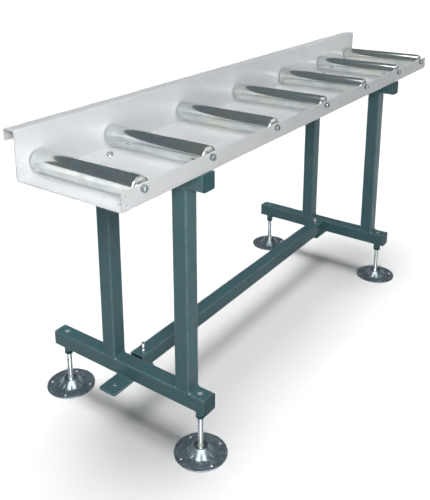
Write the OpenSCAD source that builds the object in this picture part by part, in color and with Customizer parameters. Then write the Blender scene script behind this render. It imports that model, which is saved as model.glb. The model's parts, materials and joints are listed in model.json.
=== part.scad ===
// Roller table for long bars, with a folded tray, seven rollers and two welded leg frames.
// X runs along the table, Y across it towards the tall wall, Z up from the floor.
// The origin is on the floor, under the middle of the tray's length and of the foot beams.

/* [Tray] */
// Length of the tray, near end to far end
tray_len = 2000; // [1900:10:2400]
// Width over the two walls
tray_w = 354; // [320:2:380]
// Thickness of the folded sheet
sheet_t = 3; // [2:0.5:4]
// Inner radius of the sheet's bends
bend_r = 2; // [1:0.5:3]
// Height of the tray's underside above the floor
tray_z = 881; // [600:1:1000]
// Height of the low front wall
front_wall_h = 50; // [48:1:70]
// Height of the tall back wall
back_wall_h = 132; // [110:1:180]
// Reach of the flange along the top of the back wall
flange_w = 38; // [20:1:60]
// Depth of the lip at the flange's edge, from the flange's top
lip_h = 32; // [12:1:60]
// Radius of the walls' rounded corners at the far end
wall_corner_r = 10; // [4:1:20]
// Setback of the front wall from the foot beams' front ends
tray_setback = 4; // [0:1:10]

/* [Joining holes] */
// Diameter of the holes that join the next tray, in both walls
join_hole_d = 9; // [5:0.5:11]
// Distance of the joining holes from the near end
join_hole_in = 15; // [8:1:30]
// Height of the lower joining hole above the tray's underside
join_low_h = 13; // [11:1:18]
// Height of the upper joining hole above the tray's underside
join_high_h = 40; // [30:1:42]
// Diameter of the small hole in the floor
floor_hole_d = 6; // [4:0.5:9]
// Distance of the floor hole from the near end
floor_hole_in = 33; // [20:1:36]
// Distance of the floor hole behind the front wall
floor_hole_back = 38; // [20:1:60]

/* [Rollers] */
// Outer diameter of a roller's tube
roller_d = 60; // [56:1:62]
// Wall of a roller's tube
roller_wall = 3; // [2:0.25:4]
// Gap between a roller's end and the tray's wall
roller_gap = 3; // [1:0.5:6]
// Depth of the rollers' axis below the front wall's top edge
axis_drop = 11; // [10:0.5:14]
// Distance of the first and the last roller from the tray's ends
end_offset = 70; // [60:5:100]
// Distance between the two rollers nearest each end
end_pitch = 270; // [200:5:290]
// Chamfer on a roller tube's outer edges
roller_chamfer = 1; // [0.25:0.25:1.5]

/* [Bearings] */
// Outer diameter of a bearing
bearing_od = 47; // [42:1:48]
// Width of a bearing
bearing_w = 14; // [10:1:16]
// Thickness of a bearing's outer ring
outer_ring_t = 4; // [3:0.5:4]
// Thickness of a bearing's inner ring
inner_ring_t = 4.5; // [3:0.5:5]
// Thickness of a bearing's shields
shield_t = 0.6; // [0.4:0.1:1]
// Gap between a shield and the inner ring
shield_gap = 0.4; // [0.3:0.05:0.8]
// Depth of a bearing cup behind the roller's end
cup_recess = 1; // [0.5:0.5:3]
// Thickness of the cup's rim beside the bearing's face
cup_rim = 2; // [1:0.5:3]
// Thickness of the lip behind a bearing
cup_lip_t = 2; // [1:0.5:3]
// Reach of the lip behind a bearing
cup_lip_w = 6.5; // [3:0.5:8]

/* [Axles] */
// Diameter of a roller's axle
axle_d = 20; // [17:1:22]
// Depth of the tapped hole in the axle's end
tap_depth = 30; // [24:1:40]
// Thread of the axle screws
screw_d = 12; // [8:1:12]
// Length of an axle screw under its head
screw_len = 25; // [15:1:26]
// Diameter of an axle screw's head
screw_head_d = 18; // [16:1:20]
// Height of an axle screw's head
screw_head_h = 12; // [8:1:14]
// Width across flats of the key recess in the head
screw_key = 10; // [6:1:11]
// Depth of the key recess in the head
screw_key_depth = 6; // [3:0.5:7]
// Clearance around a screw in a wall's hole, on the diameter
hole_play = 1; // [0.5:0.25:2]
// Thickness of a snap ring
ring_t = 1.2; // [0.8:0.1:1.6]
// Depth of a snap ring's groove in the axle
ring_groove = 0.5; // [0.3:0.1:1]
// Stand of a snap ring outside its groove
ring_stand = 1.8; // [1:0.1:2.5]
// Width of the gap in a snap ring
ring_gap = 5; // [2:0.5:8]

/* [Leg frames] */
// Outer width of the square tube
tube_w = 50; // [44:1:54]
// Wall of the square tube
tube_t = 3; // [2:0.5:4]
// Outer corner radius of the square tube
tube_corner_r = 5; // [4.5:0.5:8]
// Length of a foot beam
foot_beam_len = 615; // [600:5:700]
// Height of the foot beams' underside above the floor
foot_beam_z = 154; // [140:1:200]
// Distance of the front post behind the foot beam's front end
front_post_in = 58; // [56:1:80]
// Clear width between a frame's two posts
post_gap = 237; // [180:1:260]
// Distance of a frame's middle towards the near end from the roller above it
frame_shift = 15; // [0:1:20]
// Thickness of the caps in the tubes' ends
cap_t = 3; // [2:0.5:5]

/* [Tray lugs] */
// Length of a tray lug across the table
lug_len = 60; // [40:2:80]
// Reach of a tray lug from the top beam
lug_reach = 44; // [38:1:50]
// Thickness of a tray lug
lug_t = 5; // [3:0.5:8]
// Distance of a tray bolt from the top beam's face
lug_bolt_out = 22; // [14:1:26]
// Distance of the front tray bolts behind the tray's front face
lug_front_back = 56; // [40:1:80]
// Distance of the rear tray bolts behind the tray's front face
lug_rear_back = 300; // [260:1:310]

/* [Cross bar and plates] */
// Gap between the cross bar's end and the foot beam
bar_gap = 10; // [2:1:20]
// Distance of a bar bolt from the cross bar's end
bar_bolt_in = 32; // [20:1:45]
// Width of a base plate
plate_w = 65; // [52:1:90]
// Reach of a base plate beyond the foot beam, towards the table's near end
plate_reach = 80; // [76:1:100]
// Distance from a base plate's far end to the middle of its far hole
plate_hole_in = 15; // [11:1:30]
// Thickness of a base plate
plate_t = 6; // [4:1:10]
// Radius of a base plate's corners
plate_corner_r = 8; // [3:1:12]

/* [Fasteners] */
// Thread of the bolts for the tray and the bar
bolt_d = 10; // [8:1:12]
// Width across flats of those bolts' heads and nuts
bolt_af = 17; // [15:1:19]
// Height of a bolt's head
bolt_head_h = 6.4; // [5:0.2:8]
// Height of a nut
nut_h = 8; // [6:0.5:10]
// Outer diameter of a washer
washer_d = 20; // [18:1:24]
// Thickness of a washer
washer_t = 2; // [1:0.25:3]
// Length of thread that stands out of a bar bolt's nut
bar_bolt_proud = 14; // [4:1:16]
// Length of thread that stands out of a tray bolt's nut
tray_bolt_proud = 7; // [2:1:12]
// Clearance between a thread and its nut, on the radius
thread_gap = 0.1; // [0.05:0.01:0.1]

/* [Feet] */
// Diameter of a foot's pad
pad_d = 160; // [150:2:180]
// Thickness of the pad's sheet
pad_t = 3; // [2:0.5:4]
// Outer diameter of the pad's boss at its base
boss_base_d = 80; // [72:1:90]
// Outer diameter of the pad's boss at its top
boss_top_d = 46; // [45:1:54]
// Height of the pad's boss
boss_h = 27; // [22:1:36]
// Diameter of the socket in the boss
socket_d = 38; // [34:0.5:38]
// Depth of the socket in the boss
socket_depth = 12; // [6:1:15]
// Diameter of the holes in the pad
pad_hole_d = 9; // [6:0.5:12]
// Diameter of the circle that the pad's holes lie on
pad_hole_pcd = 131; // [116:1:140]
// Number of holes in a pad
pad_holes = 4; // [3:1:8]
// Thread of a foot's stem
stem_d = 16; // [12:1:18]
// Distance of a stem from the foot beam's end
stem_in = 35; // [30:1:38]
// Depth of the stem's top below the foot beam's top
stem_below = 2; // [0:0.5:8]
// Diameter of the collar at the stem's foot
collar_d = 28; // [24:0.5:32]
// Height of the collar at the stem's foot
collar_h = 8; // [4:1:12]
// Height of the cone from the collar up to the stem
collar_cone_h = 12; // [4:1:16]
// Chamfer on the stem's top
stem_chamfer = 1.5; // [0.5:0.25:2]
// Width across flats of a stem's lock nut
lock_nut_af = 24; // [22:1:30]
// Height of a stem's lock nut
lock_nut_h = 13; // [8:1:16]
// Outer diameter of the threaded bush in the foot beam
bush_d = 28; // [22:1:34]
// Length of the bush below the foot beam, down to the lock nut
bush_below = 19; // [6:1:24]
// Diameter of the hole in the foot beam's top above a stem
stem_hole_d = 18; // [17:0.5:20]

/* [Hidden] */
$fn = 96;
// Overrun of every cut
cut = 1;
// Number of rollers: the first two and the last two lie at the end pitch
rollers = 7;

// Heights
floor_top_z = tray_z + sheet_t;
front_top_z = tray_z + front_wall_h;
back_top_z = tray_z + back_wall_h;
axis_z = front_top_z - axis_drop;
foot_beam_top_z = foot_beam_z + tube_w;
top_beam_z = tray_z - tube_w;
post_len = top_beam_z - foot_beam_top_z;

// Places across the table
beam_front_y = -foot_beam_len / 2;
beam_rear_y = foot_beam_len / 2;
tray_front_y = beam_front_y + tray_setback;
inner_front_y = tray_front_y + sheet_t;
inner_rear_y = tray_front_y + tray_w - sheet_t;
tray_rear_y = tray_front_y + tray_w;
front_post_y = beam_front_y + front_post_in;
rear_post_y = front_post_y + tube_w + post_gap;
top_beam_len = rear_post_y + tube_w - beam_front_y;
stem_ys = [beam_front_y + stem_in, beam_rear_y - stem_in];
lug_ys = [tray_front_y + lug_front_back, tray_front_y + lug_rear_back];

// Places along the table
near_x = -tray_len / 2;
far_x = tray_len / 2;
inner_pitch = (tray_len - 2 * (end_offset + end_pitch)) / (rollers - 3);
function roller_x(i) = i == 1 ? near_x + end_offset
    : i == rollers ? far_x - end_offset
    : near_x + end_offset + end_pitch + (i - 2) * inner_pitch;
frame_xs = [roller_x(2) - frame_shift, roller_x(rollers - 1) - frame_shift];
bar_near_x = frame_xs[0] + tube_w / 2 + bar_gap;
bar_far_x = frame_xs[1] - tube_w / 2 - bar_gap;
bar_bolt_xs = [bar_near_x + bar_bolt_in, bar_far_x - bar_bolt_in];
plate_hole_out = tube_w / 2 + bar_gap + bar_bolt_in;
lug_bolt_xs = [for (x = frame_xs) x - tube_w / 2 - lug_bolt_out];

// Radii and bends
outer_bend_r = bend_r + sheet_t;
roller_r = roller_d / 2;
roller_bore_r = roller_r - roller_wall;
roller_len = inner_rear_y - inner_front_y - 2 * roller_gap;
axle_len = inner_rear_y - inner_front_y;
bearing_r = bearing_od / 2;
race_r = axle_d / 2 + inner_ring_t;
groove_r = axle_d / 2 - ring_groove;
bolt_hole_d = bolt_d + hole_play;
screw_hole_d = screw_d + hole_play;
bearing_in = roller_gap + cup_recess + cup_rim;

// Turn of each pad about its stem: near front, near rear, far front, far rear
pad_turns = [64, 30, 40, 52];
corners = ["near_front", "near_rear", "far_front", "far_rear"];
frames = ["near", "far"];

// Colours as photographed
tray_colour = [0.90, 0.91, 0.92];
frame_colour = [0.29, 0.41, 0.42];
zinc_colour = [0.78, 0.80, 0.80];
roller_colour = [0.55, 0.60, 0.63];
pad_colour = [0.42, 0.49, 0.51];
bearing_colour = [0.70, 0.71, 0.72];

// Shared shapes

// A quarter ring of sheet at the origin, in the quarter that the signs give
module bend(sx, sy) {
    intersection() {
        difference() {
            circle(outer_bend_r);
            circle(bend_r);
        }
        translate([sx < 0 ? -outer_bend_r : 0, sy < 0 ? -outer_bend_r : 0])
            square(outer_bend_r);
    }
}

// A rectangle with rounded corners, centred
module rounded_rectangle(w, h, r) {
    square([w - 2 * r, h], center = true);
    square([w, h - 2 * r], center = true);
    for (sx = [-1, 1], sy = [-1, 1])
        translate([sx * (w / 2 - r), sy * (h / 2 - r)]) circle(r);
}

// Square tube standing on the floor of its own frame
module square_tube(len) {
    linear_extrude(len)
        difference() {
            rounded_rectangle(tube_w, tube_w, tube_corner_r);
            rounded_rectangle(tube_w - 2 * tube_t, tube_w - 2 * tube_t, tube_corner_r - tube_t);
        }
}

// Lays what stands along Z down along Y, or along X
module along_y() { rotate([-90, 0, 0]) children(); }
module along_x() { rotate([90, 0, 90]) children(); }

// A hexagonal prism of a width across flats
module hexagon(af, h) {
    cylinder(d = af / cos(30), h = h, $fn = 6);
}

// A hexagonal nut with its thread's bore
module hex_nut(af, h, thread_r) {
    difference() {
        hexagon(af, h);
        translate([0, 0, -cut]) cylinder(r = thread_r, h = h + 2 * cut);
    }
}

// A hexagon bolt with its head's underside at zero, pointing down
module hex_bolt(len) {
    translate([0, 0, -len]) cylinder(d = bolt_d, h = len);
    hexagon(bolt_af, bolt_head_h);
}

// Puts its children at both ends of a roller, their zero at the wall's inner face
module both_ends(i) {
    translate([roller_x(i), (inner_front_y + inner_rear_y) / 2, axis_z])
        for (a = [0, 180])
            rotate(a)
                translate([0, -axle_len / 2, 0])
                    along_y() children();
}

// The tray

module tray_outline() {
    top_y = back_wall_h - outer_bend_r;
    lip_x = tray_w + flange_w;
    translate([0, outer_bend_r]) square([sheet_t, front_wall_h - outer_bend_r]);
    translate([outer_bend_r, outer_bend_r]) bend(-1, -1);
    translate([outer_bend_r, 0]) square([tray_w - 2 * outer_bend_r, sheet_t]);
    translate([tray_w - outer_bend_r, outer_bend_r]) bend(1, -1);
    translate([tray_w - sheet_t, outer_bend_r]) square([sheet_t, top_y - outer_bend_r]);
    translate([tray_w + bend_r, top_y]) bend(-1, 1);
    translate([tray_w + bend_r, back_wall_h - sheet_t])
        square([flange_w - bend_r - outer_bend_r, sheet_t]);
    translate([lip_x - outer_bend_r, top_y]) bend(1, 1);
    translate([lip_x - sheet_t, back_wall_h - lip_h]) square([sheet_t, lip_h - outer_bend_r]);
}

// What is cut off a wall's far corner, across the given stretch of Y
module corner_cut(y0, y1, z, up) {
    translate([far_x - wall_corner_r, y0, z])
        difference() {
            translate([0, 0, up > 0 ? 0 : -wall_corner_r - cut])
                cube([wall_corner_r + cut, y1 - y0, wall_corner_r + cut]);
            translate([0, -cut, 0])
                along_y() cylinder(r = wall_corner_r, h = y1 - y0 + 2 * cut);
        }
}

module tray() {
    color(tray_colour)
    difference() {
        translate([near_x, tray_front_y, tray_z])
            along_x() linear_extrude(tray_len) tray_outline();
        corner_cut(tray_front_y - cut, tray_front_y + outer_bend_r, tray_z + wall_corner_r, -1);
        corner_cut(tray_rear_y - sheet_t - cut, tray_rear_y + bend_r, back_top_z - wall_corner_r, 1);
        // Holes for the axle screws, through both walls
        for (i = [1:rollers])
            translate([roller_x(i), tray_front_y - cut, axis_z])
                along_y() cylinder(d = screw_hole_d, h = tray_w + 2 * cut);
        // Joining holes at the near end, through both walls
        for (h = [join_low_h, join_high_h])
            translate([near_x + join_hole_in, tray_front_y - cut, tray_z + h])
                along_y() cylinder(d = join_hole_d, h = tray_w + 2 * cut);
        translate([near_x + floor_hole_in, tray_front_y + floor_hole_back, tray_z - cut])
            cylinder(d = floor_hole_d, h = sheet_t + 2 * cut);
        for (x = lug_bolt_xs, y = lug_ys)
            translate([x, y, tray_z - cut])
                cylinder(d = bolt_hole_d, h = sheet_t + 2 * cut);
    }
}

// The rollers

module roller_tube(i) {
    c = roller_chamfer;
    color(roller_colour)
    translate([roller_x(i), inner_front_y + roller_gap, axis_z])
        along_y() rotate_extrude() polygon([
            [roller_bore_r, 0], [roller_r - c, 0], [roller_r, c],
            [roller_r, roller_len - c], [roller_r - c, roller_len], [roller_bore_r, roller_len]
        ]);
}

// A pressed-in cup: a sleeve around the bearing with a lip behind it
module roller_end_cups(i) {
    face = roller_gap + cup_recess;
    back = bearing_in + bearing_w;
    color(zinc_colour)
    both_ends(i)
        rotate_extrude() polygon([
            [bearing_r, face], [roller_bore_r, face], [roller_bore_r, back + cup_lip_t],
            [bearing_r - cup_lip_w, back + cup_lip_t], [bearing_r - cup_lip_w, back],
            [bearing_r, back]
        ]);
}

// The ring of a bearing that turns with the roller, with its two shields
module bearing_outers(i) {
    race = bearing_r - outer_ring_t;
    shield_r = race_r + shield_gap;
    color(bearing_colour)
    both_ends(i)
        translate([0, 0, bearing_in])
            rotate_extrude() polygon([
                [bearing_r, 0], [bearing_r, bearing_w], [race, bearing_w],
                [race, bearing_w - shield_t], [shield_r, bearing_w - shield_t],
                [shield_r, bearing_w - 2 * shield_t], [race, bearing_w - 2 * shield_t],
                [race, 2 * shield_t], [shield_r, 2 * shield_t], [shield_r, shield_t],
                [race, shield_t], [race, 0]
            ]);
}

module bearing_inner_rings() {
    color(bearing_colour)
    for (i = [1:rollers])
        both_ends(i)
            translate([0, 0, bearing_in])
                difference() {
                    cylinder(r = race_r, h = bearing_w);
                    translate([0, 0, -cut]) cylinder(d = axle_d, h = bearing_w + 2 * cut);
                }
}

module roller_axle(i) {
    color(zinc_colour)
    difference() {
        translate([roller_x(i), inner_front_y, axis_z])
            along_y() cylinder(d = axle_d, h = axle_len);
        both_ends(i) {
            translate([0, 0, -cut]) cylinder(d = screw_d, h = tap_depth + cut);
            // Groove of the snap ring
            translate([0, 0, bearing_in - ring_t])
                difference() {
                    cylinder(d = axle_d + 2 * cut, h = ring_t);
                    translate([0, 0, -cut]) cylinder(r = groove_r, h = ring_t + 2 * cut);
                }
        }
    }
}

// Open rings in the axles' grooves, against the bearings' outer faces
module axle_snap_rings() {
    color(zinc_colour)
    for (i = [1:rollers])
        both_ends(i)
            translate([0, 0, bearing_in - ring_t])
                difference() {
                    cylinder(r = groove_r + ring_stand + ring_groove, h = ring_t);
                    translate([0, 0, -cut]) cylinder(r = groove_r, h = ring_t + 2 * cut);
                    translate([-ring_gap / 2, 0, -cut])
                        cube([ring_gap, axle_d, ring_t + 2 * cut]);
                }
}

// Socket-head screws through the walls into the axles
module axle_screws() {
    color(zinc_colour)
    for (i = [1:rollers])
        both_ends(i)
            translate([0, 0, -sheet_t])
                difference() {
                    union() {
                        cylinder(d = screw_d, h = screw_len);
                        translate([0, 0, -screw_head_h])
                            cylinder(d = screw_head_d, h = screw_head_h);
                    }
                    translate([0, 0, -screw_head_h - cut])
                        hexagon(screw_key, screw_key_depth + cut);
                }
}

// The leg frames

module foot_beam(k) {
    color(frame_colour)
    difference() {
        translate([frame_xs[k], beam_front_y + cap_t, foot_beam_z + tube_w / 2])
            along_y() square_tube(foot_beam_len - 2 * cap_t);
        for (y = stem_ys)
            translate([frame_xs[k], y, foot_beam_z]) {
                // The bush goes through the bottom wall
                translate([0, 0, -cut]) cylinder(d = bush_d, h = tube_t + 2 * cut);
                translate([0, 0, tube_w - tube_t - cut])
                    cylinder(d = stem_hole_d, h = tube_t + 2 * cut);
            }
    }
}

// Posts count front to rear, near frame first
module post(k) {
    color(frame_colour)
    translate([
        frame_xs[floor(k / 2)],
        (k % 2 == 0 ? front_post_y : rear_post_y) + tube_w / 2,
        foot_beam_top_z
    ])
        square_tube(post_len);
}

module top_beam(k) {
    color(frame_colour)
    translate([frame_xs[k], beam_front_y + cap_t, top_beam_z + tube_w / 2])
        along_y() square_tube(top_beam_len - 2 * cap_t);
}

// A square cap welded flush over a tube's end
module tube_cap(x, y, z) {
    translate([x, y, z + tube_w / 2])
        along_y() linear_extrude(cap_t) rounded_rectangle(tube_w, tube_w, tube_corner_r);
}

module tube_end_caps() {
    color(frame_colour)
    for (x = frame_xs) {
        tube_cap(x, beam_front_y, foot_beam_z);
        tube_cap(x, beam_rear_y - cap_t, foot_beam_z);
        tube_cap(x, beam_front_y, top_beam_z);
        tube_cap(x, beam_front_y + top_beam_len - cap_t, top_beam_z);
    }
}

module base_plate(k) {
    near_end = -tube_w / 2 - plate_reach;
    far_end = plate_hole_out + plate_hole_in;
    color(frame_colour)
    translate([frame_xs[k], 0, foot_beam_z - plate_t])
        difference() {
            translate([(near_end + far_end) / 2, 0, 0])
                linear_extrude(plate_t)
                    rounded_rectangle(far_end - near_end, plate_w, plate_corner_r);
            for (s = [-1, 1])
                translate([s * plate_hole_out, 0, -cut])
                    cylinder(d = bolt_hole_d, h = plate_t + 2 * cut);
        }
}

module tray_lugs() {
    color(frame_colour)
    for (x = frame_xs, y = lug_ys)
        difference() {
            translate([x - tube_w / 2 - lug_reach, y - lug_len / 2, tray_z - lug_t])
                cube([lug_reach, lug_len, lug_t]);
            translate([x - tube_w / 2 - lug_bolt_out, y, tray_z - lug_t - cut])
                cylinder(d = bolt_hole_d, h = lug_t + 2 * cut);
        }
}

module cross_bar() {
    color(frame_colour)
    difference() {
        translate([bar_near_x, 0, foot_beam_z + tube_w / 2])
            along_x() square_tube(bar_far_x - bar_near_x);
        for (x = bar_bolt_xs)
            translate([x, 0, foot_beam_z - cut])
                cylinder(d = bolt_hole_d, h = tube_w + 2 * cut);
    }
}

// Fasteners

// Bolts up through the plate and the cross bar, heads below
module bar_bolts() {
    len = plate_t + tube_w + washer_t + nut_h + bar_bolt_proud;
    color(zinc_colour)
    for (x = bar_bolt_xs)
        translate([x, 0, foot_beam_z - plate_t])
            rotate([180, 0, 0]) hex_bolt(len);
}

// Bolts down through the tray's floor and the lugs, heads above
module tray_bolts() {
    len = washer_t + sheet_t + lug_t + nut_h + tray_bolt_proud;
    color(zinc_colour)
    for (x = lug_bolt_xs, y = lug_ys)
        translate([x, y, floor_top_z + washer_t])
            hex_bolt(len);
}

module washer() {
    difference() {
        cylinder(d = washer_d, h = washer_t);
        translate([0, 0, -cut]) cylinder(d = bolt_d + hole_play / 2, h = washer_t + 2 * cut);
    }
}

module m10_washers() {
    color(zinc_colour) {
        for (x = bar_bolt_xs) translate([x, 0, foot_beam_top_z]) washer();
        for (x = lug_bolt_xs, y = lug_ys) translate([x, y, floor_top_z]) washer();
    }
}

module m10_nuts() {
    thread_r = bolt_d / 2 + thread_gap;
    color(zinc_colour) {
        for (x = bar_bolt_xs)
            translate([x, 0, foot_beam_top_z + washer_t])
                hex_nut(bolt_af, nut_h, thread_r);
        for (x = lug_bolt_xs, y = lug_ys)
            translate([x, y, tray_z - lug_t - nut_h])
                hex_nut(bolt_af, nut_h, thread_r);
    }
}

// The feet count front to rear, near frame first
module at_foot(k) {
    translate([frame_xs[floor(k / 2)], stem_ys[k % 2], 0]) children();
}

// A dished pad: flat rim, cone-shaped boss and a socket for the stem's collar
module foot_pad(k) {
    pad_r = pad_d / 2;
    base_r = boss_base_d / 2;
    top_r = boss_top_d / 2;
    socket_r = socket_d / 2;
    socket_z = boss_h - socket_depth;
    // Under the sheet, the slope lies in from the outer one by the sheet's thickness
    slope = (base_r - top_r) / (boss_h - pad_t);
    lean = pad_t * sqrt(1 + slope * slope);
    inner_top_z = socket_z - pad_t;
    color(pad_colour)
    at_foot(k) rotate(pad_turns[k])
        difference() {
            rotate_extrude() polygon([
                [0, inner_top_z], [base_r - lean - slope * (inner_top_z - pad_t), inner_top_z],
                [base_r - lean + slope * pad_t, 0], [pad_r, 0], [pad_r, pad_t],
                [base_r, pad_t], [top_r, boss_h], [socket_r, boss_h],
                [socket_r, socket_z], [0, socket_z]
            ]);
            for (i = [0:pad_holes - 1])
                rotate(i * 360 / pad_holes)
                    translate([pad_hole_pcd / 2, 0, -cut])
                        cylinder(d = pad_hole_d, h = pad_t + 2 * cut);
        }
}

// A stem that stands in the pad's socket on its collar
module foot_stem(k) {
    foot_z = boss_h - socket_depth;
    top_z = foot_beam_top_z - stem_below;
    stem_r = stem_d / 2;
    collar_r = collar_d / 2;
    c = stem_chamfer;
    color(zinc_colour)
    at_foot(k) rotate_extrude() polygon([
        [0, foot_z], [collar_r, foot_z], [collar_r, foot_z + collar_h],
        [stem_r, foot_z + collar_h + collar_cone_h],
        [stem_r, top_z - c], [stem_r - c, top_z], [0, top_z]
    ]);
}

// Threaded bushes, from below the foot beam to the inside of its top wall
module foot_bushes() {
    h = bush_below + tube_w - tube_t;
    color(frame_colour)
    for (k = [0:3])
        at_foot(k) translate([0, 0, foot_beam_z - bush_below])
            difference() {
                cylinder(d = bush_d, h = h);
                translate([0, 0, -cut]) cylinder(r = stem_d / 2 + thread_gap, h = h + 2 * cut);
            }
}

module lock_nuts() {
    color(frame_colour)
    for (k = [0:3])
        at_foot(k) translate([0, 0, foot_beam_z - bush_below - lock_nut_h])
            hex_nut(lock_nut_af, lock_nut_h, stem_d / 2 + thread_gap);
}

// The whole table, or one of its pieces

tray();
for (i = [1:rollers]) {
    roller_tube(i);
    roller_end_cups(i);
    bearing_outers(i);
    roller_axle(i);
}
bearing_inner_rings();
axle_snap_rings();
axle_screws();
for (k = [0:1]) {
    foot_beam(k);
    top_beam(k);
    base_plate(k);
}
for (k = [0:3]) {
    post(k);
    foot_pad(k);
    foot_stem(k);
}
tube_end_caps();
tray_lugs();
cross_bar();
bar_bolts();
tray_bolts();
m10_washers();
m10_nuts();
foot_bushes();
lock_nuts();
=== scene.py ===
"""Looks of the roller table: detailed pieces, materials, light and the photograph's camera.

All places are in metres in the CAD frame: X along the table, Y towards the tall wall, Z up.
"""

import json
from math import cos, pi, radians, sin, tan

import bmesh
import bpy
import numpy as np
from mathutils import Matrix, Vector


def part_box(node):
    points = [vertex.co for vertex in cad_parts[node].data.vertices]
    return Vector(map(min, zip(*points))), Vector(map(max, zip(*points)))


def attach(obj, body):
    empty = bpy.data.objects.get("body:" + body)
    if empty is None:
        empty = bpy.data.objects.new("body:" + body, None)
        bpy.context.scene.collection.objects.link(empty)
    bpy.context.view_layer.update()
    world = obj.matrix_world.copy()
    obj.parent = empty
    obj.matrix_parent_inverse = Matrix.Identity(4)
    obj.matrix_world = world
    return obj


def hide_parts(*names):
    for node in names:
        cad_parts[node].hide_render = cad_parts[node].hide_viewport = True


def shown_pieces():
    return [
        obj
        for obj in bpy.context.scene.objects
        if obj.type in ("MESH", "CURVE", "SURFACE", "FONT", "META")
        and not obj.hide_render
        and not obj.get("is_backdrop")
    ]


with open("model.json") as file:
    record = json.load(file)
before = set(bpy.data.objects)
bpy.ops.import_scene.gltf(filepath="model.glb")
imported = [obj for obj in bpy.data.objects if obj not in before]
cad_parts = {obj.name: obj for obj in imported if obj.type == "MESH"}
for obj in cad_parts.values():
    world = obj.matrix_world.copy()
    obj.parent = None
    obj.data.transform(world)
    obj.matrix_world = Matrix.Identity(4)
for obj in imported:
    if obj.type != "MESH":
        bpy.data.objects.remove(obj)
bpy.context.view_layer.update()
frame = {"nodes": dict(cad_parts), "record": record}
nodes = frame["nodes"]

TAU = 2 * pi
MM = 0.001
CORNERS = ("near_front", "near_rear", "far_front", "far_rear")
FRAMES = ("near", "far")
ENDS = ("front", "rear")
ROLLERS = range(1, 8)
SHEET = 3 * MM  # the tray's sheet and the roller tubes' wall
HEX_SEGMENTS = 72

# Camera

IMAGE_W, IMAGE_H = 430, 500
FOCAL_PX = 680.0
CENTRE_PX = (205.0, 122.0)
YAW, PITCH, ROLL = radians(35.841), radians(15.7363), radians(-0.3158)
CAMERA_AT = Vector((-2.017, -1.2642, 1.4819))


def make_camera():
    forward = Vector((cos(YAW) * cos(PITCH), sin(YAW) * cos(PITCH), -sin(PITCH)))
    right = Vector((sin(YAW), -cos(YAW), 0.0))
    up = right.cross(forward)
    right, up = cos(ROLL) * right + sin(ROLL) * up, cos(ROLL) * up - sin(ROLL) * right
    data = bpy.data.cameras.new("camera")
    data.sensor_width = 36.0
    data.lens = FOCAL_PX / IMAGE_H * data.sensor_width
    data.shift_x = (IMAGE_W / 2 - CENTRE_PX[0]) / IMAGE_H
    data.shift_y = (CENTRE_PX[1] - IMAGE_H / 2) / IMAGE_H
    data.clip_start, data.clip_end = 0.05, 400.0
    camera = bpy.data.objects.new("camera", data)
    camera.matrix_world = Matrix.Translation(CAMERA_AT) @ Matrix((right, up, -forward)).transposed().to_4x4()
    bpy.context.scene.collection.objects.link(camera)
    bpy.context.scene.camera = camera


make_camera()

# Materials


class Graph:
    """A small helper for one material's or the world's nodes."""

    def __init__(self, owner):
        owner.use_nodes = True
        self.tree = owner.node_tree
        self.tree.nodes.clear()

    def add(self, kind, inputs=None, **settings):
        made = self.tree.nodes.new(kind)
        for key, value in settings.items():
            setattr(made, key, value)
        for key, value in (inputs or {}).items():
            socket = made.inputs[key]
            if isinstance(value, bpy.types.NodeSocket):
                self.tree.links.new(value, socket)
            else:
                socket.default_value = value
        return made

    def noise(self, at, scale, detail=3.0, rough=0.55, distortion=0.0):
        return self.add("ShaderNodeTexNoise", {"Vector": at, "Scale": scale, "Detail": detail,
                                               "Roughness": rough, "Distortion": distortion}).outputs["Fac"]

    def stretch(self, at, scale):
        return self.add("ShaderNodeVectorMath", {0: at, 1: scale}, operation="MULTIPLY").outputs[0]

    def remap(self, value, low, high, to_low=0.0, to_high=1.0):
        return self.add("ShaderNodeMapRange", {"Value": value, "From Min": low, "From Max": high,
                                               "To Min": to_low, "To Max": to_high}).outputs["Result"]

    def maths(self, operation, a, b):
        return self.add("ShaderNodeMath", {0: a, 1: b}, operation=operation).outputs[0]

    def mix(self, share, a, b):
        made = self.add("ShaderNodeMix", {"Factor": share}, data_type="RGBA")
        for key, value in (("A", a), ("B", b)):
            socket = next(s for s in made.inputs if s.name == key and s.type == "RGBA")
            if isinstance(value, bpy.types.NodeSocket):
                self.tree.links.new(value, socket)
            else:
                socket.default_value = (*value, 1.0)
        return next(s for s in made.outputs if s.type == "RGBA")

    def bump(self, height, strength, distance, normal=None):
        inputs = {"Height": height, "Strength": strength, "Distance": distance}
        if normal is not None:
            inputs["Normal"] = normal
        return self.add("ShaderNodeBump", inputs).outputs["Normal"]

    def place(self):
        return self.add("ShaderNodeTexCoord").outputs["Object"]

    def edges(self, radius, full=0.86):
        """1 on the piece's edges, 0 on its faces."""
        round_normal = self.add("ShaderNodeBevel", {"Radius": radius}, samples=4).outputs["Normal"]
        plain = self.add("ShaderNodeNewGeometry").outputs["Normal"]
        compare = self.add("ShaderNodeVectorMath", {0: round_normal, 1: plain}, operation="DOT_PRODUCT")
        return self.remap(compare.outputs["Value"], 0.997, full)

    def finish(self, **inputs):
        named = {key.replace("_", " "): value for key, value in inputs.items()}
        shader = self.add("ShaderNodeBsdfPrincipled", named)
        out = self.add("ShaderNodeOutputMaterial")
        self.tree.links.new(shader.outputs[0], out.inputs[0])


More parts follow.
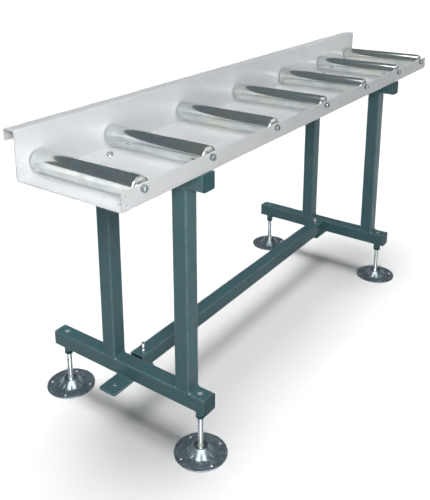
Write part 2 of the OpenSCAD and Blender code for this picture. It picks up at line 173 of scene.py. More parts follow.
def powder_coat(name, dark, light, dusty, edge, rough, peel, peel_depth,
                corner=0.0012, gloss=0.25, full=0.86):
    """Powder paint: slow tone changes, dusty clouds, fine grain, orange peel and an edge tone on the edges,
    mottled like wear; where that tone is paler than the paint, it is a painted highlight.
    """
    material = bpy.data.materials.new(name)
    g = Graph(material)
    at = g.place()
    tone = g.mix(g.remap(g.noise(at, 3.1, 4.0), 0.3, 0.7), dark, light)
    tone = g.mix(g.remap(g.noise(at, 17.0, 5.0, 0.62), 0.44, 0.66, 0.0, 0.8), tone, dusty)
    grain = g.noise(at, 900.0, 2.0)
    tone = g.mix(g.remap(grain, 0.35, 0.75, 0.0, 0.12), tone, light)
    # The edges take the edge tone, mottled like wear: where it is paler than the paint, a painted highlight
    painted_edges_and_wear = g.maths("MULTIPLY", g.edges(corner, full), g.remap(g.noise(at, 70.0, 3.0), 0.35, 0.6, 0.35, 0.9))
    tone = g.mix(painted_edges_and_wear, tone, edge)
    skin = g.noise(at, peel, 2.0, 0.5)
    normal = g.bump(skin, 0.35, peel_depth)
    normal = g.bump(grain, 0.10, peel_depth * 0.4, normal)
    g.finish(Base_Color=tone, Roughness=g.remap(g.noise(at, 24.0, 3.0), 0.3, 0.7, rough - 0.05, rough + 0.06),
             Normal=normal, Specular_IOR_Level=gloss)
    return material


def plated_steel(name, dark, light, tint, rough, blotch, ring_lines=0.0, metal=1.0):
    """Zinc plate: cloudy brightness, a faint passivation tint, fine lines and small pits."""
    material = bpy.data.materials.new(name)
    g = Graph(material)
    at = g.place()
    cloud = g.noise(at, blotch, 5.0, 0.62, 0.4)
    tone = g.mix(g.remap(cloud, 0.32, 0.68), dark, light)
    tone = g.mix(g.remap(g.noise(at, blotch * 0.37, 3.0), 0.46, 0.66, 0.0, 0.7), tone, tint)
    pits = g.noise(at, 620.0, 3.0, 0.6)
    tone = g.mix(g.remap(pits, 0.62, 0.75, 0.0, 0.35), tone, dark)
    height = pits
    if ring_lines:
        lines = g.noise(g.stretch(at, (6.0, 1400.0, 6.0)), 1.0, 3.0, 0.7)
        height = g.maths("ADD", g.maths("MULTIPLY", lines, ring_lines), g.maths("MULTIPLY", pits, 0.5))
    g.finish(Base_Color=tone, Metallic=metal,
             Roughness=g.remap(cloud, 0.3, 0.7, rough * 1.35, rough * 0.75),
             Normal=g.bump(height, 0.12, 0.00012))
    return material


def galvanised(name, dark, light, rough):
    """Dipped zinc: crystals of uneven tone, dull patches and a soft wavy skin."""
    material = bpy.data.materials.new(name)
    g = Graph(material)
    at = g.place()
    warped = g.add("ShaderNodeVectorMath", {0: at, 1: g.stretch(g.add(
        "ShaderNodeTexNoise", {"Vector": at, "Scale": 60.0, "Detail": 2.0}).outputs["Color"],
        (0.012, 0.012, 0.012))}, operation="ADD").outputs[0]
    cell = g.add("ShaderNodeTexVoronoi", {"Vector": warped, "Scale": 130.0})
    grey = g.add("ShaderNodeSeparateColor", {"Color": cell.outputs["Color"]}).outputs[0]
    tone = g.mix(g.remap(grey, 0.0, 1.0, 0.1, 0.75), dark, light)
    tone = g.mix(g.remap(g.noise(at, 34.0, 5.0, 0.6), 0.42, 0.62, 0.0, 0.8), tone, dark)
    height = g.maths("ADD", g.noise(at, 150.0, 3.0), g.maths("MULTIPLY", grey, 0.15))
    g.finish(Base_Color=tone, Metallic=0.9, Roughness=g.remap(grey, 0.0, 1.0, rough - 0.07, rough + 0.1),
             Normal=g.bump(height, 0.4, 0.0006))
    return material


# The tray's paler edge tone is a painted highlight along its edges, mottled like wear
tray_paint = powder_coat("tray_paint", (0.745, 0.750, 0.765), (0.790, 0.793, 0.805), (0.735, 0.738, 0.735),
                         (0.84, 0.84, 0.84), 0.34, 330.0, 0.00025, 0.0012, 0.5)
# The frame's paler edge tone, 5 mm wide on the tubes' corners, is a painted highlight, mottled like wear
frame_paint = powder_coat("frame_paint", (0.044, 0.112, 0.126), (0.058, 0.136, 0.151), (0.070, 0.123, 0.130),
                          (0.22, 0.34, 0.36), 0.40, 300.0, 0.00030, 0.0050, 0.25, 0.955)
# Pale, shiny paint for the weld drops: its pale tone is a painted highlight
drop_highlight_paint = powder_coat("drop_highlight_paint", (0.26, 0.38, 0.41), (0.36, 0.48, 0.51), (0.30, 0.42, 0.44),
                         (0.44, 0.54, 0.56), 0.22, 300.0, 0.00010, 0.0012, 0.5)
# The welds' paler edge tone is a painted highlight
weld_paint = powder_coat("weld_paint", (0.046, 0.112, 0.120), (0.060, 0.136, 0.143), (0.074, 0.124, 0.124),
                         (0.10, 0.18, 0.19), 0.34, 300.0, 0.00030)
cap_paint = powder_coat("cap_paint", (0.026, 0.076, 0.086), (0.036, 0.094, 0.104), (0.050, 0.092, 0.096),
                        (0.03, 0.07, 0.08), 0.50, 300.0, 0.00030, 0.0030, 0.10)
roller_steel = plated_steel("roller_steel", (0.60, 0.65, 0.66), (0.84, 0.88, 0.89), (0.82, 0.80, 0.70),
                            0.15, 16.0, 0.35)
zinc = plated_steel("zinc", (0.42, 0.46, 0.48), (0.68, 0.71, 0.72), (0.64, 0.63, 0.54), 0.22, 120.0)
# A darker copy of the zinc for the stems: painted shade, so that their sides look dark
shaded_stem_zinc = plated_steel("shaded_stem_zinc", (0.30, 0.35, 0.37), (0.48, 0.53, 0.56), (0.42, 0.44, 0.42),
                         0.30, 24.0)
# A paler, less metallic zinc for the stems' flat tops: a painted highlight
stem_top_highlight = plated_steel("stem_top_highlight", (0.50, 0.53, 0.55), (0.68, 0.71, 0.72), (0.60, 0.60, 0.55),
                        0.36, 90.0, 0.0, 0.35)
screw_zinc = plated_steel("screw_zinc", (0.24, 0.28, 0.29), (0.46, 0.50, 0.51), (0.40, 0.42, 0.38),
                          0.24, 90.0)
pad_zinc = galvanised("pad_zinc", (0.17, 0.22, 0.25), (0.40, 0.46, 0.49), 0.41)
bearing_steel = plated_steel("bearing_steel", (0.55, 0.56, 0.57), (0.74, 0.74, 0.74), (0.66, 0.66, 0.64),
                             0.30, 160.0)
MATERIALS = {"tray_paint": tray_paint, "frame_paint": frame_paint, "roller_steel": roller_steel,
             "zinc": zinc, "pad_zinc": pad_zinc, "bearing_steel": bearing_steel}

for part in frame["record"]["subparts"]:
    mesh = nodes[part["node"]].data
    mesh.materials.clear()
    mesh.materials.append(cap_paint if part["node"] == "tube_end_caps" else MATERIALS[part["material_slot"]])

# Mesh helpers


class Shell:
    """Collects vertices and faces of one piece."""

    def __init__(self):
        self.points, self.faces = [], []

    def rows(self, rows, closed=False):
        """Skins rows of points. Each row is a ring, and closed joins the last row to the first."""
        start = len(self.points)
        n = len(rows[0])
        for row in rows:
            self.points.extend(tuple(p) for p in row)
        last = len(rows) if closed else len(rows) - 1
        for k in range(last):
            a, b = start + k * n, start + (k + 1) % len(rows) * n
            for i in range(n):
                j = (i + 1) % n
                self.faces.append((a + i, a + j, b + j, b + i))

    def cap(self, row_start, n, flip=False):
        face = tuple(range(row_start, row_start + n))
        self.faces.append(face[::-1] if flip else face)

    def solid(self, rows):
        """Rows of rings with both ends closed by flat caps."""
        start, n = len(self.points), len(rows[0])
        self.rows(rows)
        self.cap(start, n, flip=True)
        self.cap(start + (len(rows) - 1) * n, n)

    def build(self, name, slot, body, replaces=(), smooth=32.0):
        mesh = bpy.data.meshes.new(name)
        mesh.from_pydata(self.points, [], self.faces)
        mesh.validate()
        work = bmesh.new()
        work.from_mesh(mesh)
        bmesh.ops.remove_doubles(work, verts=work.verts, dist=1e-7)
        bmesh.ops.recalc_face_normals(work, faces=work.faces)
        work.to_mesh(mesh)
        work.free()
        mesh.shade_smooth()
        mesh.set_sharp_from_angle(angle=radians(smooth))
        mesh.materials.append(MATERIALS[slot])
        piece = bpy.data.objects.new(name, mesh)
        bpy.context.scene.collection.objects.link(piece)
        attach(piece, body)
        if replaces:
            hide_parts(*replaces)
        return piece


def turned(profile, segments, place, radius_at=None):
    """Rings of a lathe profile [(radius, height)], moved by the matrix place.

    radius_at(angle, radius, height) may change the radius as it goes round.
    """
    rows = []
    for r, z in profile:
        row = []
        for i in range(segments):
            a = TAU * i / segments
            q = radius_at(a, r, z) if radius_at else r
            row.append(place @ Vector((q * cos(a), q * sin(a), z)))
        rows.append(row)
    return rows


def hexagon_limit(across):
    """The radius limit of a hexagonal prism, for turned()."""
    def limit(a, r, z):
        edge = across / 2 / cos((a % (pi / 3)) - pi / 6)
        return min(r, edge)
    return limit


def hex_body(shell, place, across, height, bore=0.0):
    """A hexagonal nut, or a bolt head where bore is zero, with its corners chamfered at 30 degrees."""
    flat = across / 2 * 0.95
    slope = tan(radians(30))
    depth = (across / 2 / cos(pi / 6) - flat) * slope
    steps = [k / 4 for k in range(5)]
    low = [(flat + (t * depth) / slope, t * depth) for t in steps]
    high = [(flat + (t * depth) / slope, height - t * depth) for t in reversed(steps)]
    profile = low + high
    limit = hexagon_limit(across)
    if bore:
        sink = min(bore * 0.12, depth)
        top = [(bore + sink, height), (bore, height - sink)]
        profile = [(bore, sink), (bore + sink, 0.0)] + profile + top
        shell.rows(turned(profile, HEX_SEGMENTS, place, limit), closed=True)
    else:
        shell.solid(turned(profile, HEX_SEGMENTS, place, limit))


def thread_rows(radius, pitch, z0, z1, place, segments=24, steps=6):
    """Rings of a helical thread with rounded flanks from z0 up to z1."""
    depth = 0.3 * pitch
    count = max(2, int(round((z1 - z0) / pitch * steps)))
    rows = []
    for k in range(count + 1):
        z = z0 + (z1 - z0) * k / count
        row = []
        for i in range(segments):
            a = TAU * i / segments
            fade = max(0.0, min(1.0, (z - z0) / pitch, (z1 - z) / pitch))
            r = radius - depth * fade * (0.5 - 0.5 * cos(TAU * z / pitch - a))
            row.append(place @ Vector((r * cos(a), r * sin(a), z)))
        rows.append(row)
    return rows


def ring_rows(radius, z, place, segments=24):
    return [place @ Vector((radius * cos(TAU * i / segments), radius * sin(TAU * i / segments), z))
            for i in range(segments)]


def at(x, y, z, turn=0.0):
    return Matrix.Translation((x, y, z)) @ Matrix.Rotation(turn, 4, "Z")


def middle(node):
    low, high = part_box(node)
    return (low + high) / 2


# Sizes read from the CAD frame

roller_at = {i: middle(f"roller_tube_{i}") for i in ROLLERS}
tube_low, tube_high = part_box("roller_tube_1")
TUBE_R = (tube_high.z - tube_low.z) / 2
TUBE_LEN = tube_high.y - tube_low.y
tray_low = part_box("tray")[0]
foot_at = {c: middle(f"foot_pad_{c}") for c in CORNERS}
frame_x = {f: middle(f"foot_beam_{f}").x for f in FRAMES}
beam_low, beam_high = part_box("foot_beam_near")

# Rollers


def roller_tube(i):
    """The tube with rolled-over ends in place of the square-cut CAD tube."""
    shell = Shell()
    wall, edge = SHEET, 1.6 * MM
    x, y, z = roller_at[i]
    place = Matrix.Translation((x, y, z)) @ Matrix.Rotation(-pi / 2, 4, "X")
    half = TUBE_LEN / 2
    arc = [k / 6 * pi / 2 for k in range(7)]
    end = [(TUBE_R - wall, half - 1.0 * MM)] + [
        (TUBE_R - wall + 0.9 * MM * (1 - cos(t)), half - 1.0 * MM + 1.0 * MM * sin(t)) for t in arc[1:]
    ] + [(TUBE_R - edge + edge * sin(t), half - edge + edge * cos(t)) for t in arc]
    profile = end + [(r, -h) for r, h in reversed(end)]
    shell.rows(turned(profile, 128, place), closed=True)
    shell.build(f"tube_{i}", "roller_steel", f"roller_{i}", [f"roller_tube_{i}"], 60.0)


def roller_cups(i):
    """Pressed end cups: a rim, a rolled groove and the seat of the bearing."""
    shell = Shell()
    x, y, z = roller_at[i]
    wall_in = TUBE_R - SHEET
    for side in (-1, 1):
        place = (Matrix.Translation((x, y, z)) @ Matrix.Rotation(-pi / 2 * side, 4, "X"))
        face = TUBE_LEN / 2 - 1 * MM
        seat = 23.5 * MM
        back = face - 16 * MM
        profile = [(seat, face - 0.6 * MM), (seat + 0.5 * MM, face - 0.15 * MM), (seat + 1.1 * MM, face),
                   (seat + 1.5 * MM, face - 0.7 * MM), (seat + 1.7 * MM, face - 2.2 * MM),
                   (seat + 2.4 * MM, face - 2.2 * MM), (seat + 2.6 * MM, face - 0.7 * MM),
                   (wall_in - 0.3 * MM, face - 0.1 * MM), (wall_in, face - 0.5 * MM),
                   (wall_in, back - 2 * MM), (seat - 6.5 * MM, back - 2 * MM),
                   (seat - 6.5 * MM, back), (seat, back)]
        shell.rows(turned(profile, 96, place), closed=True)
    shell.build(f"cups_{i}", "zinc", f"roller_{i}", [f"roller_end_cups_{i}"], 40.0)


def axle_screws():
    """Socket-head screws with knurled heads, chamfers and a hexagon recess."""
    shell = Shell()
    head_r, head_h, key, deep, shank = 9 * MM, 12 * MM, 10 * MM, 6 * MM, 6 * MM
    segments = 144

    def knurled(a, r, z):
        return r - (0.28 * MM if r > head_r - 0.05 * MM and int(round(a / TAU * segments)) % 3 == 0 else 0.0)

    for i in ROLLERS:
        x, y, z = roller_at[i]
        for side in (-1, 1):
            wall_y = y + side * (TUBE_LEN / 2 + 6 * MM)
            place = Matrix.Translation((x, wall_y, z)) @ Matrix.Rotation(-pi / 2 * side, 4, "X")
            outer = [(0.0, -22 * MM), (shank - 1 * MM, -22 * MM), (shank, -21 * MM), (shank, 0.0),
                     (head_r - 0.6 * MM, 0.0), (head_r, 0.5 * MM), (head_r, 1.2 * MM),
                     (head_r, head_h - 2.2 * MM), (head_r - 0.1 * MM, head_h - 1.2 * MM),
                     (head_r - 0.5 * MM, head_h - 0.45 * MM), (head_r - 1.3 * MM, head_h)]
            shell.rows(turned(outer, segments, place, knurled))
            limit = hexagon_limit(key)
            recess = [(head_r - 1.3 * MM, head_h), (key / 2 / cos(pi / 6) + 0.25 * MM, head_h),
                      (key, head_h - 0.5 * MM), (key, head_h - deep), (0.0, head_h - deep - 1.2 * MM)]

            def hollow(a, r, z_):
                return limit(a, r, z_) if z_ < head_h - 0.1 * MM else r
            shell.rows(turned(recess, segments, place, hollow))
    shell.build("axle_socket_screws", "zinc", "frame", ["axle_screws"], 28.0).data.materials[0] = screw_zinc


for i in ROLLERS:
    roller_tube(i)
    roller_cups(i)
axle_screws()

# Feet

PAD_TURNS = dict(zip(CORNERS, (64.0, 30.0, 40.0, 52.0)))


def foot_pad(corner):
    """A pressed pad: dished rim, eight soft lobes up the boss and a socket for the collar."""
    x, y, _ = foot_at[corner]
    place = at(x, y, 0.0, radians(PAD_TURNS[corner]))
    shell = Shell()

    def lobed(a, r, z):
        r_mm, z_mm = r / MM, z / MM
        if not 23.2 < r_mm < 46.0 or z_mm < 1.0:
            return r
        reach = max(0.0, 1 - abs(r_mm - 38.5) / 15.0) ** 1.2
        wave = abs(cos(4 * a))
        return r + MM * reach * (4.6 * wave ** 0.7 - 3.1)

    top = [(0.0, 15.0), (15.0, 15.0), (18.0, 15.3), (19.0, 16.4), (19.0, 25.4), (19.5, 26.6), (20.6, 27.0),
           (22.2, 26.8), (23.6, 25.8), (25.4, 23.4), (27.6, 20.4), (30.0, 17.0), (32.4, 13.6), (34.6, 10.5),
           (36.8, 7.6), (38.6, 5.5), (40.6, 4.0), (43.0, 3.0), (47.0, 2.45), (53.0, 2.3), (60.0, 2.4),
           (68.0, 2.7), (74.0, 2.95), (77.4, 3.0), (79.2, 2.6), (80.0, 1.6), (79.8, 0.6), (79.0, 0.0)]
    under = [(74.0, 0.0), (60.0, 0.0), (44.0, 0.0), (39.0, 0.4), (35.6, 2.4), (32.0, 7.0), (28.0, 11.6),
             (25.0, 12.0), (0.0, 12.0)]
    profile = [(r * MM, z * MM) for r, z in top + under]
    shell.rows(turned(profile, 128, place, lobed))
    pad = shell.build(f"pad_{corner}", "pad_zinc", f"foot_{corner}", [f"foot_pad_{corner}"], 50.0)
    cutter = Shell()
    for k in range(4):
        a = TAU * k / 4
        hole = place @ at(65.5 * MM * cos(a), 65.5 * MM * sin(a), 0.0)
        drill = [(4.5 * MM, -4 * MM), (4.5 * MM, 2.3 * MM), (5.2 * MM, 3.0 * MM), (5.2 * MM, 8 * MM)]
        cutter.solid(turned(drill, 32, hole))
    tool_mesh = bpy.data.meshes.new("cutter")
    tool_mesh.from_pydata(cutter.points, [], cutter.faces)
    tool = bpy.data.objects.new("cutter", tool_mesh)
    bpy.context.scene.collection.objects.link(tool)
    cut = pad.modifiers.new("holes", "BOOLEAN")
    cut.object, cut.solver, cut.operation = tool, "EXACT", "DIFFERENCE"
    evaluated = pad.evaluated_get(bpy.context.evaluated_depsgraph_get())
    pierced = bpy.data.meshes.new_from_object(evaluated)
    pad.modifiers.clear()
    pad.data = pierced
    pierced.set_sharp_from_angle(angle=radians(50))
    bpy.data.objects.remove(tool)


def foot_stem(corner):
    """A threaded stem on a coned collar."""
    x, y, _ = foot_at[corner]
    place = at(x, y, 0.0)
    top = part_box(f"foot_stem_{corner}")[1].z
    shell = Shell()
    foot, collar, cone, r = 15 * MM, 23 * MM, 35 * MM, 8 * MM
    profile = [(0.0, foot), (12.6 * MM, foot), (13.6 * MM, foot + 0.6 * MM), (14 * MM, foot + 1.6 * MM),
               (14 * MM, collar - 1.2 * MM), (13.6 * MM, collar - 0.3 * MM), (13.0 * MM, collar + 0.4 * MM),
               (11.4 * MM, collar + 3.6 * MM), (9.6 * MM, collar + 7.4 * MM), (8.4 * MM, collar + 10.2 * MM),
               (r, cone)]
    rows = turned(profile, 48, place)
    rows += thread_rows(r, 2 * MM, cone + 0.5 * MM, top - 3.4 * MM, place, 48)
    arc = [k / 6 * pi / 2 for k in range(7)]
    dome = [(5.0 * MM + 2.8 * MM * cos(t), top - 2.8 * MM * (1 - sin(t))) for t in arc]
    rows += turned(dome + [(0.0, top)], 48, place)
    shell.rows(rows)
    stem = shell.build(f"stem_{corner}", "zinc", f"foot_{corner}", [f"foot_stem_{corner}"], 40.0)
    stem.data.materials[0] = shaded_stem_zinc
    stem.data.materials.append(stem_top_highlight)
    # The flat top of the stem gets the pale zinc: a painted highlight
    for face in stem.data.polygons:
        if face.center.z > top - 0.4 * MM:
            face.material_index = 1


for corner in CORNERS:
    foot_pad(corner)
    foot_stem(corner)

M16_ACROSS, M16_NUT, M16_BORE = 24 * MM, 13 * MM, 8.1 * MM
lock = Shell()
lock_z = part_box("lock_nuts")[0].z
for corner, turn in zip(CORNERS, (8, 31, 47, 19)):
    x, y, _ = foot_at[corner]
    hex_body(lock, at(x, y, lock_z, radians(turn)), M16_ACROSS, M16_NUT, M16_BORE)
lock.build("lock_hex_nuts", "frame_paint", "frame", ["lock_nuts"], 30.0).data.materials[0] = cap_paint

# Fasteners

bar_low, bar_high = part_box("cross_bar")
BAR_BOLT_X = (bar_low.x + 32 * MM, bar_high.x - 32 * MM)
LUG_Y = (tray_low.y + 56 * MM, tray_low.y + 300 * MM)
LUG_BOLT = [(frame_x[f] - 47 * MM, y) for f in FRAMES for y in LUG_Y]
PLATE, LUG, WASHER = 6 * MM, 5 * MM, 2 * MM
M10_R, M10_PITCH, M10_ACROSS = 5 * MM, 1.5 * MM, 17 * MM
M10_HEAD, M10_NUT, M10_BORE = 6.4 * MM, 8 * MM, 5.1 * MM
TRAY_FLOOR = tray_low.z + SHEET


def bolt(shell, place, length):
    """An M10 hexagon bolt: head up, its underside at zero, the thread's end chamfered.

    A long bolt has 28 mm of thread, and a short one has thread up to 6 mm under its head.
    """
    hex_body(shell, place, M10_ACROSS, M10_HEAD)
    end = -length
    shank_end, thread_top = (end + 28 * MM, end + 27.6 * MM) if length > 40 * MM else (-6 * MM, -6.2 * MM)
    rows = [ring_rows(0.0, 0.0, place), ring_rows(M10_R, 0.0, place), ring_rows(M10_R, shank_end, place)]
    rows += reversed(thread_rows(M10_R, M10_PITCH, end + 1.0 * MM, thread_top, place))
    rows += [ring_rows(M10_R - 1.3 * MM, end, place), ring_rows(0.0, end, place)]
    shell.rows(rows)


bar_shell, tray_shell, nuts, washers = Shell(), Shell(), Shell(), Shell()
for k, x in enumerate(BAR_BOLT_X):
    head_down = at(x, 0, beam_low.z - PLATE) @ Matrix.Rotation(pi, 4, "X") @ Matrix.Rotation(0.3 + k, 4, "Z")
    bolt(bar_shell, head_down, 80 * MM)
    hex_body(nuts, at(x, 0, beam_high.z + WASHER, radians(14 + 20 * k)), M10_ACROSS, M10_NUT, M10_BORE)
for k, (x, y) in enumerate(LUG_BOLT):
    bolt(tray_shell, at(x, y, TRAY_FLOOR + WASHER, radians(11 + 23 * k)), 25 * MM)
    hex_body(nuts, at(x, y, tray_low.z - LUG - M10_NUT, radians(7 + 17 * k)), M10_ACROSS, M10_NUT, M10_BORE)
for x, y, z in [(x, 0.0, beam_high.z) for x in BAR_BOLT_X] + [(x, y, TRAY_FLOOR) for x, y in LUG_BOLT]:
    profile = [(5.25, 0.0), (9.8, 0.0), (10.0, 0.25), (10.0, 1.6), (9.7, 2.0), (5.6, 2.0), (5.25, 1.7)]
    washers.rows(turned([(r * MM, h * MM) for r, h in profile], 48, at(x, y, z)), closed=True)
bar_shell.build("bar_hex_bolts", "zinc", "frame", ["bar_bolts"], 30.0)
tray_shell.build("tray_hex_bolts", "zinc", "frame", ["tray_bolts"], 30.0)
nuts.build("hex_nuts", "zinc", "frame", ["m10_nuts"], 30.0)
washers.build("flat_washers", "zinc", "frame", ["m10_washers"], 40.0)

# Welds

rng = np.random.default_rng(7)


def fillet(shell, start, end, out_a, out_b, leg, hollow=0.35, step=1.7 * MM):
    """A weld bead in the corner along start to end; out_a and out_b point along the two faces.

    hollow above zero bows the bead in, below zero out. Ripples run across it.
    """
    along = Vector(end) - Vector(start)
    count = max(6, int(along.length / step))
    out_a, out_b = Vector(out_a).normalized(), Vector(out_b).normalized()
    rows = []
    for k in range(count + 1):
        t = k / count
        size = leg * (1 + 0.07 * sin(k * 2.1) + rng.uniform(-0.05, 0.05))
        taper = min(1.0, 4 * t + 0.35, 4 * (1 - t) + 0.35)
        size *= taper
        base = Vector(start) + along * t
        row = [base - (out_a + out_b) * 0.4 * MM]
        for s in range(7):
            u = s / 6
            bow = 1 - hollow * 4 * u * (1 - u) * 0.5
            row.append(base + (out_a * (1 - u) + out_b * u) * size * bow)
        rows.append(row)
    shell.solid(rows)


def seam(shell, start, end, out, width=2.6 * MM, proud=0.5 * MM, step=1.7 * MM):
    """A flat weld seam along a line on a face whose outward direction is out."""
    along = Vector(end) - Vector(start)
    side = along.normalized().cross(Vector(out))
    count = max(6, int(along.length / step))
    rows = []
    for k in range(count + 1):
        t = k / count
        w = width * (1 + 0.12 * sin(k * 1.9) + rng.uniform(-0.08, 0.08))
        base = Vector(start) + along * t
        row = [base - Vector(out) * 2.0 * MM]
        for s in range(7):
            a = pi * s / 6
            rise = proud * sin(a) * (1 + 0.15 * sin(k * 2.3)) - 0.1 * MM
            row.append(base + side * (w * cos(a)) + Vector(out) * rise)
        rows.append(row)
    shell.solid(rows)


welds = Shell()
HALF = 25 * MM  # half of the square tube
for f in FRAMES:
    fx = frame_x[f]
    for end in ENDS:
        low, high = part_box(f"post_{f}_{end}")
        for z, up in ((low.z, 1), (high.z, -1)):
            for y, out in ((low.y, -1), (high.y, 1)):
                # A rear post's outer face is flush with the top beam's end, which leaves no corner to fill
                if up < 0 and end == "rear" and out > 0:
                    continue
                fillet(welds, (fx - HALF + 1 * MM, y, z), (fx + HALF - 1 * MM, y, z),
                       (0, out, 0), (0, 0, up), 8 * MM, 0.5)
            for side in (-1, 1):
                x = fx + side * (HALF - 0.4 * MM)
                seam(welds, (x, low.y + 1 * MM, z), (x, high.y - 1 * MM, z), (side, 0, 0))
    for side in (-1, 1):
        x = fx + side * HALF
        fillet(welds, (x, -30 * MM, beam_low.z), (x, 30 * MM, beam_low.z),
               (side, 0, 0), (0, 0, 1), 5.5 * MM, 0.2)
    for y in LUG_Y:
        fillet(welds, (fx - HALF, y - 27 * MM, tray_low.z - LUG), (fx - HALF, y + 27 * MM, tray_low.z - LUG),
               (-1, 0, 0), (0, 0, -1), 4.5 * MM, 0.2)
welds.build("weld_beads", "frame_paint", "frame", (), 50.0).data.materials[0] = weld_paint

# The last drop of each seam at the posts' feet, in pale, shiny paint: the pale tone is a painted highlight
drops = Shell()
for f in FRAMES:
    for end in ENDS:
        low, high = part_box(f"post_{f}_{end}")
        z = low.z - 0.2 * MM
        for x, out_x in ((low.x, -1), (high.x, 1)):
            for y, out_y in ((low.y, -1), (high.y, 1)):
                size = 3.1 * MM * (1 + rng.uniform(-0.1, 0.1))
                arc = [k / 6 * pi / 2 for k in range(6)]
                dome = [(size, 0.0)] + [(size * cos(t), 0.3 * MM + 2.2 * MM * sin(t)) for t in arc]
                drops.solid(turned(dome, 24, at(x - out_x * 2.6 * MM, y + out_y * 1.2 * MM, z)))
drops.build("weld_drops", "frame_paint", "frame", (), 50.0).data.materials[0] = drop_highlight_paint

# Floor, world and lights

FLOOR_SEEN = (0.325, 0.325, 0.325)    # renders white under the lamps, to the camera and in reflections
FLOOR_BOUNCE = (0.06, 0.06, 0.06)     # what the floor throws back on the table
HORIZON = (1.0, 1.0, 1.0)
HALL = (0.135, 0.162, 0.175)


def make_floor():
    size = 70.0
    mesh = bpy.data.meshes.new("floor")
    corners = [(-size, -size, 0), (size, -size, 0), (size, size, 0), (-size, size, 0)]
    mesh.from_pydata(corners, [], [(0, 1, 2, 3)])
    floor = bpy.data.objects.new("floor", mesh)
    bpy.context.scene.collection.objects.link(floor)
    material = bpy.data.materials.new("floor")
    g = Graph(material)
    path = g.add("ShaderNodeLightPath").outputs
    mirrored = g.maths("MAXIMUM", path["Is Glossy Ray"], path["Is Transmission Ray"])
    seen = g.maths("MAXIMUM", path["Is Camera Ray"], mirrored)
    colour = g.mix(seen, FLOOR_BOUNCE, FLOOR_SEEN)
    shader = g.add("ShaderNodeBsdfDiffuse", {"Color": colour})
    out = g.add("ShaderNodeOutputMaterial")
    g.tree.links.new(shader.outputs[0], out.inputs[0])
    mesh.materials.append(material)
    floor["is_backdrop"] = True
    return floor


def make_world():
    """A bright low horizon under a dim grey hall, as the rollers reflect it."""
    world = bpy.data.worlds.new("studio")
    bpy.context.scene.world = world
    g = Graph(world)
    direction = g.add("ShaderNodeTexCoord").outputs["Generated"]
    height = g.add("ShaderNodeSeparateXYZ", {0: direction}).outputs["Z"]
    share = g.remap(height, 0.128, 0.15)
    colour = g.mix(share, HORIZON, HALL)
    back = g.add("ShaderNodeBackground", {"Color": colour, "Strength": 1.0})
    out = g.add("ShaderNodeOutputWorld")
    g.tree.links.new(back.outputs[0], out.inputs[0])


def aim(obj, target):
    obj.rotation_mode = "QUATERNION"
    obj.rotation_quaternion = (Vector(target) - obj.location).to_track_quat("-Z", "Y")


def area_light(name, place, target, size, watts, height=None):
    data = bpy.data.lights.new(name, "AREA")
    data.shape, data.size, data.energy = "DISK" if height is None else "RECTANGLE", size, watts
    if height is not None:
        data.size_y = height
    light = bpy.data.objects.new(name, data)
    light.location = place
    aim(light, target)
    light.visible_camera = False
    bpy.context.scene.collection.objects.link(light)
    return light


def sun_light(name, direction, strength, angle):
    data = bpy.data.lights.new(name, "SUN")
    data.energy, data.angle = strength, radians(angle)
    light = bpy.data.objects.new(name, data)
    light.location = -Vector(direction) * 4
    aim(light, (0, 0, 0))
    bpy.context.scene.collection.objects.link(light)
    return light


bpy.context.scene.view_settings.view_transform = "Standard"
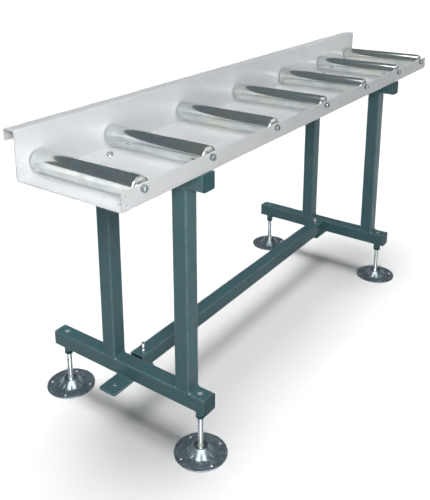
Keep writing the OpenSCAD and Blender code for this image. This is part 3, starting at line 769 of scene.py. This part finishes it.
# With the light tree, light linking gave two different renders at random
bpy.context.scene.cycles.use_light_tree = False
floor = make_floor()
make_world()
top = sun_light("overhead", (0.0, 0.0, -1.0), 1.1, 32.0)
floor_lamp = sun_light("floor_lamp", (0.0, 0.0, -1.0), 5.6, 31.0)
floor_lamp_2 = sun_light("floor_lamp_2", (0.0, 0.0, -1.0), 3.7, 31.0)
fill = sun_light("fill", (0.62, 0.60, -0.5), 0.22, 60.0)
back = sun_light("fill_back", (0.1, -0.8, -0.55), 0.40, 60.0)
side = sun_light("fill_side", (-0.85, -0.1, -0.35), 0.40, 60.0)
for lamp in (fill, back, side):
    lamp.visible_glossy = False
key = area_light("key", CAMERA_AT + Vector((0.1, -0.1, 0.30)), (-0.5, -0.1, 0.6), 0.5, 31.0)
tray_key = area_light("tray_key", (-1.75, -1.15, 1.62), (-0.5, -0.1, 0.8), 0.5, 13.5)
near_light = area_light("near_light", (-1.15, -1.05, 0.80), (-0.8, -0.3, 0.9), 0.5, 0.7)
near_light.visible_glossy = False
far_light = area_light("far_light", (0.66, -0.20, 1.38), (0.66, -0.05, 0.93), 0.35, 0.42, height=0.2)
far_light.visible_glossy = False
softbox = area_light("softbox", CAMERA_AT + Vector((-0.25, -0.2, 0.35)), (-0.3, -0.1, 0.35),
                     2.2, 100.0, height=1.9)
strip = area_light("strip", (4.0, 3.1, 2.3), (4.0, 0.0, 0.9), 10.0, 24.0, height=0.35)
softbox.visible_diffuse = strip.visible_diffuse = False


def group(name, members):
    """A collection for light linking, which isn't part of the scene's own collections."""
    made = bpy.data.collections.new(name)
    for member in members:
        made.objects.link(member)
    return made


# The photograph's floor shows the shadow of the legs alone, so only they block these three lamps
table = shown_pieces()
legs = [p for p in table if p.name == "tube_end_caps"
        or not p.name.startswith(("tray", "tube_", "cups_", "roller_", "bearing", "axle_"))]
low_legs = [p for p in legs if not p.name.startswith("top_beam")]
framework = [p for p in legs if not p.name.startswith("base_plate")]
no_bar = [p for p in framework if p.name != "cross_bar"]
ground = group("ground", [floor])
for lamp, blockers in ((top, group("low_legs", low_legs)), (floor_lamp, group("frames", framework)),
                       (floor_lamp_2, group("frames_without_bar", no_bar))):
    lamp.light_linking.blocker_collection = blockers

# What each lamp lights, where it isn't everything
tray_only = group("tray_only", [p for p in table if p.name == "tray"])
all_but_tray = group("all_but_tray", [p for p in table if p.name != "tray"])
whole_table = group("whole_table", table)
upper = group("upper", [p for p in table if p not in legs])
tubes = group("roller_tubes", [p for p in table if p.name.startswith("tube_") and p not in legs])
for lamp, lit in ((floor_lamp, ground), (floor_lamp_2, ground), (tray_key, tray_only),
                  (near_light, tray_only), (key, all_but_tray), (softbox, all_but_tray),
                  (fill, whole_table), (back, whole_table), (side, whole_table),
                  (far_light, upper), (strip, tubes)):
    lamp.light_linking.receiver_collection = lit
